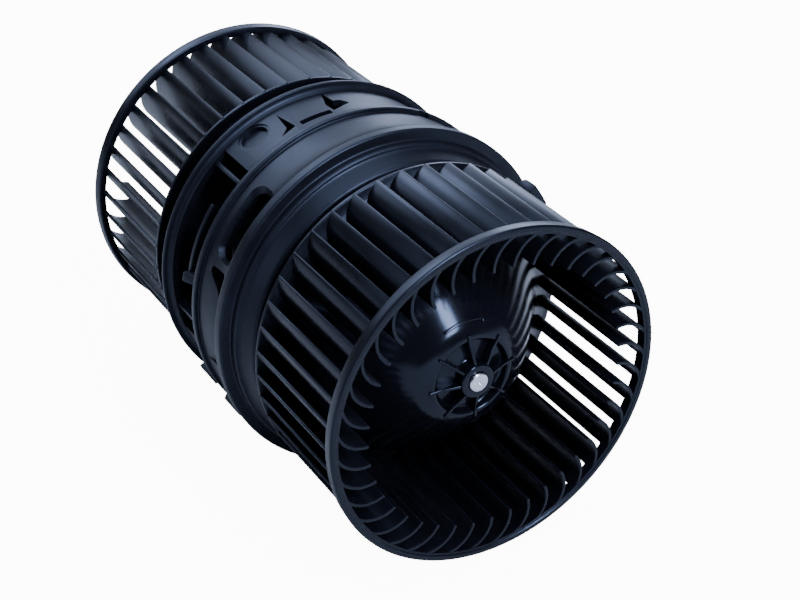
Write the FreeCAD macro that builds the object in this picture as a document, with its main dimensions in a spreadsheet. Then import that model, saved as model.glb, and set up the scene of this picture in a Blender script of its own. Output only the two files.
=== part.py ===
"""Cabin blower motor: a double-ended fan with a wheel on each end of one shaft.

Millimetres. The shaft lies along Y with the near wheel at -Y and +Z up. The origin is the
centre of the wide seat ring's land, where the blower's own case holds the moulded carrier.
Angles are in degrees from +X towards +Z, seen from the near end.
"""
import FreeCAD, Part
import math
import os

import Sketcher

SIZES = {
    # how far a joined piece is let into its neighbour, and how far a cut starts outside
    "let_in": 1,
    "cut_past": 2,
    # fan wheels: every depth is measured from the rim plane towards the motor
    "rim_radius": 70,
    "rim_depth": 5,
    "rim_lap": 1.2,
    "cage_step": 2.4,
    "cage_ring": 13.4,
    "cage_length": 62,
    "disc_thick": 1.5,
    "blade_count": 41,
    "blade_thick": 1.25,
    "blade_bend": 12.5,
    "blade_sweep": 82,
    "blade_flats": 3,
    "wheel_turn": 5.85,
    "crown_radius": 19.5,
    "crown_depth": 18,
    "bell_shoulder_step": 24.5,
    "bell_shoulder_drop": 32,
    "bell_waist_step": 11,
    "bell_waist_drop": 16,
    "bell_foot_step": 1.2,
    "bell_foot_drop": 2,
    "bell_wall": 2.2,
    "recess_radius": 15.5,
    "recess_depth": 3,
    "recess_draft": 0.5,
    "boss_radius": 7.1,
    "boss_depth": 14,
    "boss_length": 22,
    "boss_rib_count": 8,
    "boss_rib_thick": 1.2,
    "boss_rib_reach": 19,
    "arrow_angle": 86,
    "arrow_sweep": 46,
    "arrow_radius": 22.6,
    "arrow_depth": 20.6,
    "arrow_width": 1,
    "wheel_gap": 6,
    # shaft and bearings
    "shaft_radius": 4,
    "shaft_proud": 1,
    "shaft_chamfer": 0.4,
    "push_gap": 0.02,
    "running_gap": 0.03,
    "bearing_radius": 9.5,
    "bearing_length": 8,
    "retainer_radius": 15,
    "retainer_bore": 6.5,
    "retainer_thick": 1,
    # carrier outside
    "seat_radius": 74,
    "seat_length": 6,
    "seat_step": 2.2,
    "band_step": 3.5,
    "bead_step": 1.8,
    "shoulder_step": 4.7,
    "collar_root_step": 6.8,
    "collar_step": 9,
    "collar_reach": 14.5,
    "collar_root": 6.4,
    "band_start": 9,
    "bead_start": 23.5,
    "bead_length": 3,
    "shell_wall": 2.5,
    "slide_gap": 0.04,
    "spigot_length": 8.5,
    "flange_step": 3.5,
    "flange_start": 55.5,
    "flange_length": 2,
    "waist_end": 64.5,
    "far_wall": 2,
    "far_taper": 8,
    # carrier inside
    "end_wall": 2.5,
    "pad_thick": 5,
    "pad_seat_wall": 3,
    "pad_seat_length": 14,
    "pad_seat_angle": 24,
    "pad_count": 3,
    "pad_angle": 20,
    "pad_length": 12.5,
    "web_thick": 2,
    # openings and catches of the carrier
    "window_angle": 142,
    "window_length": 31,
    "window_height": 12,
    "window_station": 11,
    "window_rounding": 0.2,
    "long_window_angle": 178,
    "long_window_length": 46,
    "long_window_taper": 16,
    "window_slope_angle": 33,
    "window_slope_depth": 3.1,
    "window_slope_end": 21.3,
    "notch_angle": 63,
    "notch_width": 5,
    "notch_length": 1.9,
    "pocket_angle": 163,
    "pocket_width": 70,
    "pocket_start": 30,
    "pocket_end": 53.5,
    "strut_angle": 133,
    "arm_station": 37,
    "arm_width": 2.4,
    "arm_angle": 158,
    "arm_sweep": 28,
    "arm_rise": 1,
    "lug_angle": 170,
    "lug_width": 4,
    "lug_rise": 4,
    "post_angle": 189,
    "catch_angle": 97.8,
    "catch_slot": 14,
    "catch_slot_width": 3,
    "catch_low": 35.3,
    "slit_length": 18,
    "slit_spread": 10.5,
    "slit_width": 4,
    "dimple_angle": 118,
    "dimple_radius": 7,
    "dimple_station": 47,
    "dimple_depth": 1.6,
    "hook_angle": 210,
    "hook_rise": 5,
    "hook_station": 36,
    "hook_width": 6,
    "hook_length": 10,
    "fin_angle": 31.5,
    "fin_width": 9,
    "fin_rise": 8.4,
    "fin_length": 7,
    "fin_thick": 4,
    # power socket, on the underside
    "socket_angle": 240,
    "socket_width": 24,
    "socket_height": 16,
    "socket_wall": 1.8,
    "socket_rise": 11,
    "socket_depth": 9.5,
    "socket_station": 45,
    # motor
    "can_radius": 36,
    "can_wall": 1.5,
    "can_start": -20,
    "can_end": 66,
    "can_lip": 1,
    "hump_length": 8,
    "magnet_inner": 28.8,
    "magnet_length": 52,
    "magnet_start": -11.5,
    "magnet_angle": 140,
    "clip_gap_angle": 0.6,
    "clip_wall_angle": 1.8,
    "clip_thick": 1,
    "clip_gap": 0.1,
    "core_radius": 28,
    "core_start": -6.5,
    "core_length": 42,
    "slot_count": 8,
    "slot_inner": 13.5,
    "slot_outer": 25,
    "slot_mouth": 2.4,
    "slot_root_width": 4.86,
    "slot_top_width": 10.5,
    "slot_neck": 1.5,
    "slot_liner": 0.1,
    "winding_end": 9,
    "winding_inner": 8,
    "winding_outer": 26,
    "commutator_radius": 11.5,
    "commutator_length": 15,
    "commutator_gap": 0.5,
    "brush_gap": 0.3,
    "brush_width": 8,
    "brush_height": 6,
    "brush_length": 12,
    "brush_station": 52,
    "brush_wall": 2,
    "brush_play": 0.05,
    "spring_room": 3,
    "spring_thick": 0.55,
    "spring_play": 0.1,
    "card_station": 57,
    "card_thick": 2.5,
    "card_half_width": 24,
    "card_bore": 13,
    "card_back": 1.5,
    "terminal_width": 6.3,
    "terminal_thick": 0.8,
    "terminal_pitch": 10,
    "terminal_start": 22,
    "terminal_bend": 55,
    "terminal_play": 0.1,
    "terminal_inset": 2,
}

TOP, LEFT, RIGHT = 90, 210, 330

doc = FreeCAD.newDocument("CabinBlowerMotor")
sheet = doc.addObject("Spreadsheet::Sheet", "Sheet")
for row, (alias, number) in enumerate(SIZES.items(), 1):
    sheet.set(f"A{row}", alias)
    sheet.set(f"B{row}", str(number))
    sheet.setAlias(f"B{row}", alias)
doc.recompute()


class Size:
    """A number that also keeps the sheet formula it comes from."""

    def __init__(self, value, text=None):
        self.value = float(value)
        self.text = text or f"({self.value!r})"

    def __add__(self, other):
        other = sized(other)
        return Size(self.value + other.value, f"({self.text} + {other.text})")

    def __sub__(self, other):
        other = sized(other)
        return Size(self.value - other.value, f"({self.text} - {other.text})")

    def __mul__(self, other):
        other = sized(other)
        return Size(self.value * other.value, f"({self.text} * {other.text})")

    def __truediv__(self, other):
        other = sized(other)
        return Size(self.value / other.value, f"({self.text} / {other.text})")

    def __radd__(self, other):
        return sized(other) + self

    def __rsub__(self, other):
        return sized(other) - self

    def __rmul__(self, other):
        return sized(other) * self

    def __neg__(self):
        return sized(0) - self


def sized(number):
    """Any number as a Size."""
    return number if isinstance(number, Size) else Size(number)


class Sheet:
    """The cells of the sheet by name."""

    def __getattr__(self, alias):
        return Size(sheet.get(alias), f"Sheet.{alias}")


D = Sheet()


def sine(angle):
    angle = sized(angle)
    return Size(math.sin(math.radians(angle.value)), f"sin({angle.text} * 1 deg)")


def cosine(angle):
    angle = sized(angle)
    return Size(math.cos(math.radians(angle.value)), f"cos({angle.text} * 1 deg)")


def leg(slope, other):
    """The third side of a right triangle."""
    slope, other = sized(slope), sized(other)
    return Size(math.sqrt(slope.value ** 2 - other.value ** 2),
                f"sqrt({slope.text} ^ 2 - {other.text} ^ 2)")


def polar(radius, angle):
    return radius * cosine(angle), radius * sine(angle)


def ring(radius, count, turn=0):
    """Corners of a regular polygon."""
    return [polar(radius, turn + 360 / count * i) for i in range(count)]


def bind(thing, path, size):
    """Tie one property to the sheet where its size comes from there."""
    if "Sheet." in size.text:
        thing.setExpression(path, size.text)


class Piece:
    """One sub-part, built as a body along the shaft."""

    made = []

    def __init__(self, label, station=0, turn=0):
        station, turn = sized(station), sized(turn)
        self.body = doc.addObject("PartDesign::Body", label)
        self.body.Label = label
        spin = FreeCAD.Rotation(FreeCAD.Vector(0, 1, 0), -turn.value)
        self.body.Placement = FreeCAD.Placement(FreeCAD.Vector(0, station.value, 0), spin)
        bind(self.body, "Placement.Base.y", station)
        self.volume = 0.0
        Piece.made.append(self.body)

    def sketch(self, name, role, loops, base=(0, 0, 0), axis=(0, 0, 1), lean=0):
        """A sketch on one of the body's own planes, moved by base and turned about axis."""
        made = self.body.newObject("Sketcher::SketchObject", name)
        support = next(f for f in self.body.Origin.OriginFeatures if f.Role == role)
        made.AttachmentSupport = [(support, "")]
        made.MapMode = "FlatFace"
        base, lean = [sized(part) for part in base], sized(lean)
        made.AttachmentOffset = FreeCAD.Placement(
            FreeCAD.Vector(*(part.value for part in base)),
            FreeCAD.Rotation(FreeCAD.Vector(*axis), lean.value))
        for letter, part in zip("xyz", base):
            bind(made, f"AttachmentOffset.Base.{letter}", part)
        if lean.value:
            bind(made, "AttachmentOffset.Rotation.Angle", lean * Size(1, "1 deg"))
        for loop in loops:
            outline(made, loop)
        return made

    def finish(self, made, length=None, angle=None, other_way=False, both_ways=False):
        """Give a feature its reach and work it out."""
        if length is not None:
            made.Length = sized(length).value
            bind(made, "Length", sized(length))
            made.Reversed = other_way
            if both_ways:
                made.SideType = "Symmetric"
        if angle is not None:
            made.ReferenceAxis = (made.Profile[0], ["H_Axis"])
            made.Angle = sized(angle).value
            bind(made, "Angle", sized(angle))
            made.Midplane = sized(angle).value < 360
        return self.settle(made)

    def settle(self, made):
        """Compute a feature; a cut that misses shows no error, so the volume is compared."""
        self.body.Tip = made
        doc.recompute()
        volume = self.volume if made.Shape.isNull() else made.Shape.Volume
        if abs(volume - self.volume) < 1e-6:
            raise RuntimeError(f"{self.body.Label} {made.Name}: {made.getStatusString()}")
        self.volume = volume
        return made

    def turned(self, name, points, angle=360, middle=TOP, cut=False):
        """A profile of (station, radius) corners revolved about the shaft."""
        kind = "PartDesign::Groove" if cut else "PartDesign::Revolution"
        profile = self.sketch(name + "_profile", "YZ_Plane", [points],
                              axis=(1, 0, 0), lean=TOP - sized(middle))
        made = self.body.newObject(kind, name)
        made.Profile = profile
        return self.finish(made, angle=angle)

    def prism(self, name, loops, low, high, cut=False):
        """Loops of (x, z) corners drawn out along the shaft from low to high."""
        low, high = sized(low), sized(high)
        kind = "PartDesign::Pocket" if cut else "PartDesign::Pad"
        profile = self.sketch(name + "_profile", "XZ_Plane", loops, base=(0, 0, -low))
        made = self.body.newObject(kind, name)
        made.Profile = profile
        return self.finish(made, length=high - low, other_way=not cut)

    def plate(self, name, points, width, middle=TOP, shift=0, cut=False):
        """A flat of (station, radius) corners that stands along the shaft at one angle."""
        lean = TOP - sized(middle)
        shift = sized(shift)
        kind = "PartDesign::Pocket" if cut else "PartDesign::Pad"
        profile = self.sketch(name + "_profile", "YZ_Plane", [points], axis=(1, 0, 0), lean=lean,
                              base=(0, -shift * sine(lean), shift * cosine(lean)))
        made = self.body.newObject(kind, name)
        made.Profile = profile
        return self.finish(made, length=width, both_ways=True)

    def radial(self, name, loops, middle, radius, reach, cut=False):
        """Loops of (across, station) corners on a plane that faces outwards at one angle.

        A boss grows outwards from the radius, and a cut goes inwards from it.
        """
        lean, radius = TOP - sized(middle), sized(radius)
        kind = "PartDesign::Pocket" if cut else "PartDesign::Pad"
        profile = self.sketch(name + "_profile", "XY_Plane", loops, axis=(0, 1, 0), lean=lean,
                              base=(radius * sine(lean), 0, radius * cosine(lean)))
        made = self.body.newObject(kind, name)
        made.Profile = profile
        return self.finish(made, length=reach)

    def pattern(self, name, originals, count):
        """The same features again round the shaft."""
        count = sized(count)
        made = self.body.newObject("PartDesign::PolarPattern", name)
        made.Originals = originals
        spindle = next(f for f in self.body.Origin.OriginFeatures if f.Role == "Y_Axis")
        made.Axis = (spindle, [""])
        made.Angle = 360
        made.Occurrences = int(count.value)
        bind(made, "Occurrences", count)
        return self.settle(made)


def outline(sketch, corners):
    """A closed loop whose corners and arc radii are tied to the sheet.

    A corner is (across, up) or (across, up, radius): with a radius, the edge that starts
    there is an arc, whose centre is on its left, or on its right where the radius is negative.
    A loop of one corner is a full circle about it.
    """
    def tie(kind, edge, end, size):
        size = sized(size)
        number = sketch.addConstraint(Sketcher.Constraint(kind, -1, 1, edge, end, size.value))
        bind(sketch, f"Constraints[{number}]", size)

    def tie_radius(edge, size):
        number = sketch.addConstraint(Sketcher.Constraint("Radius", edge, size.value))
        bind(sketch, f"Constraints[{number}]", size)

    upward = FreeCAD.Vector(0, 0, 1)
    places = [FreeCAD.Vector(sized(c[0]).value, sized(c[1]).value, 0) for c in corners]
    if len(corners) == 1:
        radius = sized(corners[0][2])
        edge = sketch.addGeometry(Part.Circle(places[0], upward, radius.value))
        tie("DistanceX", edge, 3, corners[0][0])
        tie("DistanceY", edge, 3, corners[0][1])
        tie_radius(edge, radius)
        return
    ends = []
    for i, corner in enumerate(corners):
        start, stop = places[i], places[(i + 1) % len(places)]
        if len(corner) == 2:
            ends.append((sketch.addGeometry(Part.LineSegment(start, stop)), 1, 2))
            continue
        radius, leftward = abs(corner[2].value), corner[2].value > 0
        chord = stop - start
        side = upward.cross(chord).normalize() * (1 if leftward else -1)
        centre = (start + stop) * 0.5 + side * math.sqrt(max(radius ** 2 - chord.Length ** 2 / 4, 0))
        first, last = (start, stop) if leftward else (stop, start)
        angles = [math.atan2(p.y - centre.y, p.x - centre.x) for p in (first, last)]
        arc = Part.ArcOfCircle(Part.Circle(centre, upward, radius), *angles)
        edge = sketch.addGeometry(arc)
        ends.append((edge, 1, 2) if leftward else (edge, 2, 1))
        tie_radius(edge, corner[2] if leftward else -corner[2])
    for here, (edge, _, stop) in enumerate(ends):
        follower, start, _ = ends[(here + 1) % len(ends)]
        sketch.addConstraint(Sketcher.Constraint("Coincident", edge, stop, follower, start))
    for (edge, start, _), corner in zip(ends, corners):
        tie("DistanceX", edge, start, corner[0])
        tie("DistanceY", edge, start, corner[1])


def box(left, right, low, high):
    """Corners of a rectangle."""
    return [(left, low), (right, low), (right, high), (left, high)]


# stations along the shaft that several pieces share
CAGE_DEPTH = D.cage_length + D.disc_thick
NEAR_RIM = -(D.collar_reach + D.wheel_gap + CAGE_DEPTH)
FAR_RIM = D.waist_end + D.wheel_gap + CAGE_DEPTH
SHAFT_START = NEAR_RIM + D.boss_depth - D.shaft_proud
SHAFT_END = FAR_RIM - D.boss_depth + D.shaft_proud
# the wheel's radii step inwards from its rim, and the bell's depths lead from its disc
CAGE_RADIUS = D.rim_radius - D.cage_step
CAGE_INNER = CAGE_RADIUS - D.cage_ring
FOOT_RADIUS = CAGE_INNER - D.bell_foot_step
BELL_SLOPE = [(D.cage_length - D.bell_shoulder_drop, FOOT_RADIUS - D.bell_shoulder_step),
              (D.cage_length - D.bell_waist_drop, FOOT_RADIUS - D.bell_waist_step),
              (D.cage_length - D.bell_foot_drop, FOOT_RADIUS)]
PAD_SEAT_RADIUS = D.can_radius + D.pad_thick
SEAT_HALF = D.seat_length / 2
BEAD_END = D.bead_start + D.bead_length
BAND_RADIUS = D.seat_radius - D.band_step
SHOULDER_RADIUS = D.seat_radius - D.shoulder_step
COLLAR_ROOT_RADIUS = D.seat_radius - D.collar_root_step
COLLAR_RADIUS = D.seat_radius - D.collar_step
SHELL_BORE = BAND_RADIUS - D.shell_wall
WAIST_RADIUS = SHELL_BORE - D.slide_gap
WAIST_BORE = WAIST_RADIUS - D.shell_wall
FLANGE_END = D.flange_start + D.flange_length
SOCKET_TOP = WAIST_RADIUS + D.socket_rise
CAN_BORE = D.can_radius - D.can_wall
SHAFT_BORE = D.shaft_radius + D.push_gap
PLATE_FACE = D.can_end - D.can_wall - D.can_lip
CARD_END = D.card_station + D.card_thick
BRUSH_START = D.commutator_radius + D.brush_gap
BRUSH_END = BRUSH_START + D.brush_length


def fan_wheel(label, rim_station, way):
    """A squirrel-cage wheel; way is 1 where it opens to the near end and -1 to the far end."""
    wheel = Piece(label, rim_station, D.wheel_turn)

    def deep(points):
        """Corners given as (depth, radius), turned towards this wheel's motor side."""
        return [(way * sized(depth), radius) for depth, radius in points]

    # the hub is a bell: a dished crown, a slope in three steps and a foot that flares out
    floor = D.crown_depth + D.recess_depth
    under = floor + D.bell_wall
    waist_depth, waist_radius = BELL_SLOPE[1]
    hub = [(D.boss_depth, SHAFT_BORE), (D.boss_depth, D.boss_radius), (floor, D.boss_radius),
           (floor, D.recess_radius), (D.crown_depth, D.recess_radius + D.recess_draft),
           (D.crown_depth, D.crown_radius)]
    hub += BELL_SLOPE
    hub += [(D.cage_length, FOOT_RADIUS), (D.cage_length, CAGE_RADIUS),
            (CAGE_DEPTH, CAGE_RADIUS), (CAGE_DEPTH, FOOT_RADIUS - D.bell_wall / 2)]
    hub += [(waist_depth + D.bell_wall, waist_radius - D.bell_wall / 2)]
    hub += [(under, D.recess_radius), (under, D.boss_radius),
            (D.boss_depth + D.boss_length, D.boss_radius), (D.boss_depth + D.boss_length, SHAFT_BORE)]
    wheel.turned("hub", deep(hub))

    # one blade: a constant wall bent in equal flats, turning back from the radius
    half = D.blade_thick / 2
    step = D.blade_sweep / D.blade_flats
    bends = range(int(D.blade_flats.value) + 1)

    def face(bend):
        return [(CAGE_INNER + bend * sine(step * i), bend * cosine(step * i) - D.blade_bend)
                for i in bends]

    section = face(D.blade_bend - half) + list(reversed(face(D.blade_bend + half)))
    root = D.cage_length + D.disc_thick / 2
    low, high = (sized(0), root) if way > 0 else (-root, sized(0))
    blade = wheel.prism("blade", [section], low, high)
    wheel.pattern("blades", [blade], D.blade_count)
    wheel.turned("rim", deep(box(0, D.rim_depth, CAGE_RADIUS - D.rim_lap, D.rim_radius)))

    # ribs run from the boss across the recess and a little way over the crown
    sink = D.bell_wall / 4
    rib = wheel.plate("boss_rib", deep([
        (D.boss_depth + sink, D.boss_radius - sink), (D.crown_depth - sink, D.recess_radius),
        (D.crown_depth - sink / 2, D.boss_rib_reach), (D.crown_depth + sink, D.boss_rib_reach),
        (floor + sink, D.recess_radius), (floor + sink, D.boss_radius - sink)]), D.boss_rib_thick)
    wheel.pattern("boss_ribs", [rib], D.boss_rib_count)

    # the raised line of the arrow that shows which way the wheel turns
    wheel.turned("arrow", deep(box(
        D.arrow_depth, D.arrow_depth + 3 * D.arrow_width, D.arrow_radius - 2 * D.arrow_width,
        D.arrow_radius)), angle=D.arrow_sweep, middle=D.arrow_angle)


def pad_seats(housing, outer_face, inward, web):
    """Three seats for the rubber pads, each backed by a web to the shell."""
    end = outer_face + inward * D.pad_seat_length
    reach = PAD_SEAT_RADIUS + D.pad_seat_wall
    seat = housing.turned("pad_seat", [
        (outer_face, PAD_SEAT_RADIUS), (outer_face, reach), (end, reach),
        (end, PAD_SEAT_RADIUS)], angle=D.pad_seat_angle)
    root = reach - D.let_in
    backing = housing.plate("web", [(end, root), (outer_face + inward * D.let_in, root)] + web,
                            D.web_thick)
    housing.pattern("pad_seats", [seat, backing], D.pad_count)


def near_housing():
    """Near half of the carrier: collar, shoulder, seat ring, windowed band and bead."""
    housing = Piece("near_housing")
    collar = -D.collar_reach
    wall = collar + D.end_wall
    bore = COLLAR_RADIUS - D.shell_wall / 2
    bead = BAND_RADIUS + D.bead_step
    housing.turned("shell", [
        (collar, PAD_SEAT_RADIUS), (collar, COLLAR_RADIUS), (-D.collar_root, COLLAR_ROOT_RADIUS),
        (-D.collar_root, SHOULDER_RADIUS), (-SEAT_HALF, SHOULDER_RADIUS),
        (-SEAT_HALF, D.seat_radius), (SEAT_HALF, D.seat_radius),
        (SEAT_HALF, D.seat_radius - D.seat_step), (D.band_start, BAND_RADIUS),
        (D.bead_start, BAND_RADIUS), (D.bead_start, bead), (BEAD_END, bead),
        (BEAD_END, SHELL_BORE), (SEAT_HALF, SHELL_BORE), (SEAT_HALF, bore), (wall, bore),
        (wall, PAD_SEAT_RADIUS)])
    web_top = bore + D.let_in / 2
    pad_seats(housing, collar, 1, [(collar + D.let_in, web_top), (-D.collar_root, web_top),
                                   (collar + D.pad_seat_length, web_top)])

    # round-ended window, then a long one that narrows beside a sloping wall; both again on
    # the far side of the band
    clear = D.seat_radius + D.cut_past
    half = D.window_height / 2
    low, high = D.window_station - half, D.window_station + half
    end = D.window_length / 2 - half
    rounding = half + D.window_rounding
    short = housing.radial("window", [[
        (-end, low), (end, low, rounding), (end, high), (-end, high, rounding)]],
        D.window_angle, clear, clear - bore + D.shell_wall, cut=True)
    side, taper, middle = D.long_window_length / 2, D.long_window_taper, D.window_station
    long = housing.radial("long_window", [[
        (taper - side * 5 / 3, low), (side, low), (side, high), (side - taper / 4, high),
        (side - taper / 2, middle), (taper - side * 5 / 3, middle)]],
        D.long_window_angle, clear, clear - bore + 2 * D.shell_wall, cut=True)
    slope = housing.turned("window_slope", [
        (low, BAND_RADIUS - D.window_slope_depth), (D.window_slope_end, BAND_RADIUS),
        (D.window_slope_end, clear), (low, clear)], angle=D.window_slope_angle,
        middle=D.long_window_angle, cut=True)
    housing.pattern("windows", [short, long, slope], 2)
    across, start = D.notch_width / 2, D.bead_start - D.notch_length / 4
    notch = housing.radial("bead_notch", [box(-across, across, start, start + D.notch_length)],
                           D.notch_angle, bead + D.let_in, 2 * D.bead_step, cut=True)
    housing.pattern("bead_notches", [notch], 2)

    # a fin stands off the collar beside the wheel's disc
    tip = COLLAR_RADIUS + D.fin_rise
    foot, near_end, far_end = tip - D.fin_thick, collar - D.fin_length / 2, collar + D.fin_length / 2
    fin = [(near_end, foot), (near_end, tip), (far_end, tip), (-D.collar_root, COLLAR_ROOT_RADIUS),
           (-D.collar_root, COLLAR_RADIUS), (collar + D.let_in, COLLAR_RADIUS - D.let_in),
           (collar + D.let_in, foot)]
    housing.turned("fin", fin, angle=D.fin_width, middle=D.fin_angle)


def far_housing():
    """Far half of the carrier: spigot, waist with its catches, thin flange and far collar."""
    housing = Piece("far_housing")
    wall = D.waist_end - D.end_wall
    spigot = BEAD_END - D.spigot_length
    flange = WAIST_RADIUS + D.flange_step
    housing.turned("shell", [
        (spigot, WAIST_BORE), (spigot, WAIST_RADIUS), (D.flange_start, WAIST_RADIUS),
        (D.flange_start, flange), (FLANGE_END, flange), (FLANGE_END, COLLAR_ROOT_RADIUS),
        (D.waist_end, COLLAR_RADIUS), (D.waist_end, PAD_SEAT_RADIUS), (wall, PAD_SEAT_RADIUS),
        (wall, COLLAR_RADIUS - D.far_wall), (wall - D.far_taper, WAIST_BORE)])
    web_top = WAIST_RADIUS - D.let_in
    pad_seats(housing, D.waist_end, -1, [
        (D.waist_end - D.let_in, COLLAR_RADIUS - D.let_in), (FLANGE_END - D.let_in, web_top),
        (D.waist_end - D.pad_seat_length, web_top)])

    # deep pockets in the waist, each crossed by a strut and a post, with a spring arm between
    pocket = housing.turned("pocket", box(D.pocket_start, D.pocket_end, WAIST_BORE - D.cut_past,
                                          WAIST_RADIUS + D.cut_past),
                            angle=D.pocket_width, middle=D.pocket_angle, cut=True)
    housing.pattern("pockets", [pocket], 2)
    low, high = D.arm_station - D.arm_width / 2, D.arm_station + D.arm_width / 2
    top = WAIST_RADIUS + D.arm_rise
    arm = housing.turned("arm", box(low, high, WAIST_BORE, top), angle=D.arm_sweep,
                         middle=D.arm_angle)
    root = D.pocket_start - D.let_in
    lug = housing.plate("lug", [
        (root, WAIST_BORE), (root, WAIST_RADIUS), (D.arm_station, WAIST_RADIUS + D.lug_rise),
        (high, top), (high, WAIST_BORE)], D.lug_width, middle=D.lug_angle)
    crossing = box(root, D.pocket_end + D.let_in, WAIST_BORE - D.web_thick,
                   WAIST_RADIUS - D.let_in / 2)
    strut = housing.plate("strut", crossing, D.web_thick, middle=D.strut_angle)
    post = housing.plate("post", crossing, D.web_thick, middle=D.post_angle)
    housing.pattern("arms", [arm, lug, strut, post], 2)

    # snap catches: a tongue between two tapering slits with a slot at its free end
    side, base, clear = D.catch_slot / 2, D.catch_low, WAIST_RADIUS + D.cut_past
    wide, end, inner, outer = D.slit_width, base + D.slit_length, side + D.let_in, D.slit_spread
    slits = [
        [(inner, base + wide / 2), (side + outer, base + 3 * wide / 2),
         (side + 2 * wide, end - 2 * wide), (inner + wide, end - 2 * wide), (side + wide, end),
         (inner, base + 2 * wide)],
        [(-inner - wide / 2, base + wide / 4), (-side - wide, end - wide),
         (-inner - wide, base + wide), (-side - outer, base)],
        box(-side, side, base, base + D.catch_slot_width)]
    catch = housing.radial("catch_slits", slits, D.catch_angle, clear, clear - WAIST_BORE + wide,
                           cut=True)
    dimple = housing.radial("dimple", [[(0, D.dimple_station, D.dimple_radius)]], D.dimple_angle,
                            clear, D.cut_past + D.dimple_depth, cut=True)
    housing.pattern("catches", [catch, dimple], 2)
    root, reach = WAIST_BORE + D.let_in, D.hook_length / 2
    housing.radial("hook", [box(-D.hook_width / 2, D.hook_width / 2, D.hook_station - reach,
                                D.hook_station + reach)],
                   D.hook_angle, root, WAIST_RADIUS + D.hook_rise - root)

    # power socket with a slit for each terminal in its floor
    across, along = D.socket_width / 2, D.socket_height / 2
    housing.radial("socket", [box(-across, across, D.socket_station - along,
                                  D.socket_station + along)],
                   D.socket_angle, root, SOCKET_TOP - root)
    within = along - D.socket_wall
    housing.radial("socket_mouth", [box(D.socket_wall - across, across - D.socket_wall,
                                        D.socket_station - within, D.socket_station + within)],
                   D.socket_angle, SOCKET_TOP, D.socket_depth, cut=True)
    slit = D.terminal_thick / 2 + D.terminal_play
    reach = D.terminal_width / 2 + D.terminal_play
    slots = [box(middle - reach, middle + reach, D.socket_station - slit, D.socket_station + slit)
             for middle in (-D.terminal_pitch / 2, D.terminal_pitch / 2)]
    floor = SOCKET_TOP - D.socket_depth
    housing.radial("terminal_slits", slots, D.socket_angle, floor + D.let_in,
                   floor + D.let_in + D.cut_past - WAIST_BORE, cut=True)


def damper(label, middle, low):
    """A rubber pad between the can and its seat."""
    pad = Piece(label)
    inner, outer = D.can_radius + D.push_gap, PAD_SEAT_RADIUS - D.push_gap
    pad.turned("pad", box(low, low + D.pad_length, inner, outer), angle=D.pad_angle, middle=middle)


def motor_can():
    """Drawn steel can, closed at the near end by a bearing hump."""
    can = Piece("motor_can")
    start, wall = D.can_start, D.can_wall
    hump = D.bearing_radius + wall
    clear = D.shaft_radius + D.let_in
    can.turned("wall", [
        (start - D.hump_length, clear), (start - D.hump_length, hump), (start, hump),
        (start, D.can_radius), (D.can_end, D.can_radius), (D.can_end, CAN_BORE),
        (start + wall, CAN_BORE), (start + wall, D.bearing_radius),
        (start + wall - D.hump_length, D.bearing_radius), (start + wall - D.hump_length, clear)])
    across = (D.terminal_pitch + D.terminal_width) / 2 + wall
    can.radial("terminal_notch", [box(-across, across, CARD_END - D.let_in,
                                      CARD_END + D.cut_past)],
               D.socket_angle, D.can_radius + D.cut_past, 3 * D.cut_past + wall, cut=True)


def end_plate():
    """Steel plate that closes the can at the far end, with the far bearing hump."""
    plate = Piece("end_plate")
    wall = D.can_wall
    hump, clear = D.bearing_radius + wall, D.shaft_radius + D.let_in
    plate.turned("plate", [
        (PLATE_FACE, CAN_BORE - D.push_gap), (PLATE_FACE + wall, CAN_BORE - D.push_gap),
        (PLATE_FACE + wall, hump), (PLATE_FACE + wall + D.hump_length, hump),
        (PLATE_FACE + wall + D.hump_length, clear), (PLATE_FACE + D.hump_length, clear),
        (PLATE_FACE + D.hump_length, D.bearing_radius), (PLATE_FACE, D.bearing_radius)])


def bearing(label, low):
    """A plain bush with eight flats, whose bore runs on the shaft."""
    bush = Piece(label)
    bore = (0, 0, D.shaft_radius + D.running_gap)
    bush.prism("bush", [ring(D.bearing_radius - D.push_gap, 8), [bore]],
               low + D.push_gap, low + D.bearing_length - D.push_gap)


def retainer(label, low):
    """A six-sided plate that holds a bush in its hump."""
    plate = Piece(label)
    plate.prism("star", [ring(D.retainer_radius, 6), ring(D.retainer_bore, 6)],
                low, low + D.retainer_thick)


def magnet(label, middle):
    arc = Piece(label)
    arc.turned("arc", box(D.magnet_start, D.magnet_start + D.magnet_length, D.magnet_inner,
                          CAN_BORE - D.push_gap), angle=D.magnet_angle, middle=middle)


def magnet_spring(label, middle):
    """A channel clip between the ends of the two magnets."""
    clip = Piece(label)
    spread = 90 - D.magnet_angle / 2
    edge = spread - D.clip_gap_angle
    inside = edge - D.clip_wall_angle
    rim, root = CAN_BORE - D.clip_gap, D.magnet_inner + D.clip_thick / 2
    back = rim - D.clip_thick
    corners = [polar(root, middle - edge), polar(rim, middle - edge), polar(rim, middle + edge),
               polar(root, middle + edge), polar(root, middle + inside),
               polar(back, middle + inside), polar(back, middle - inside),
               polar(root, middle - inside)]
    start = D.magnet_start + D.magnet_length / 8
    clip.prism("clip", [corners], start, start + D.magnet_length * 3 / 4)


def slot_outline(inset):
    """Corners of one winding slot, drawn smaller by the inset."""
    inner, outer = D.slot_inner + inset, D.slot_outer - inset
    narrow, wide = D.slot_root_width / 2 - inset, D.slot_top_width / 2 - inset
    return inner, outer, narrow, wide


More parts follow.
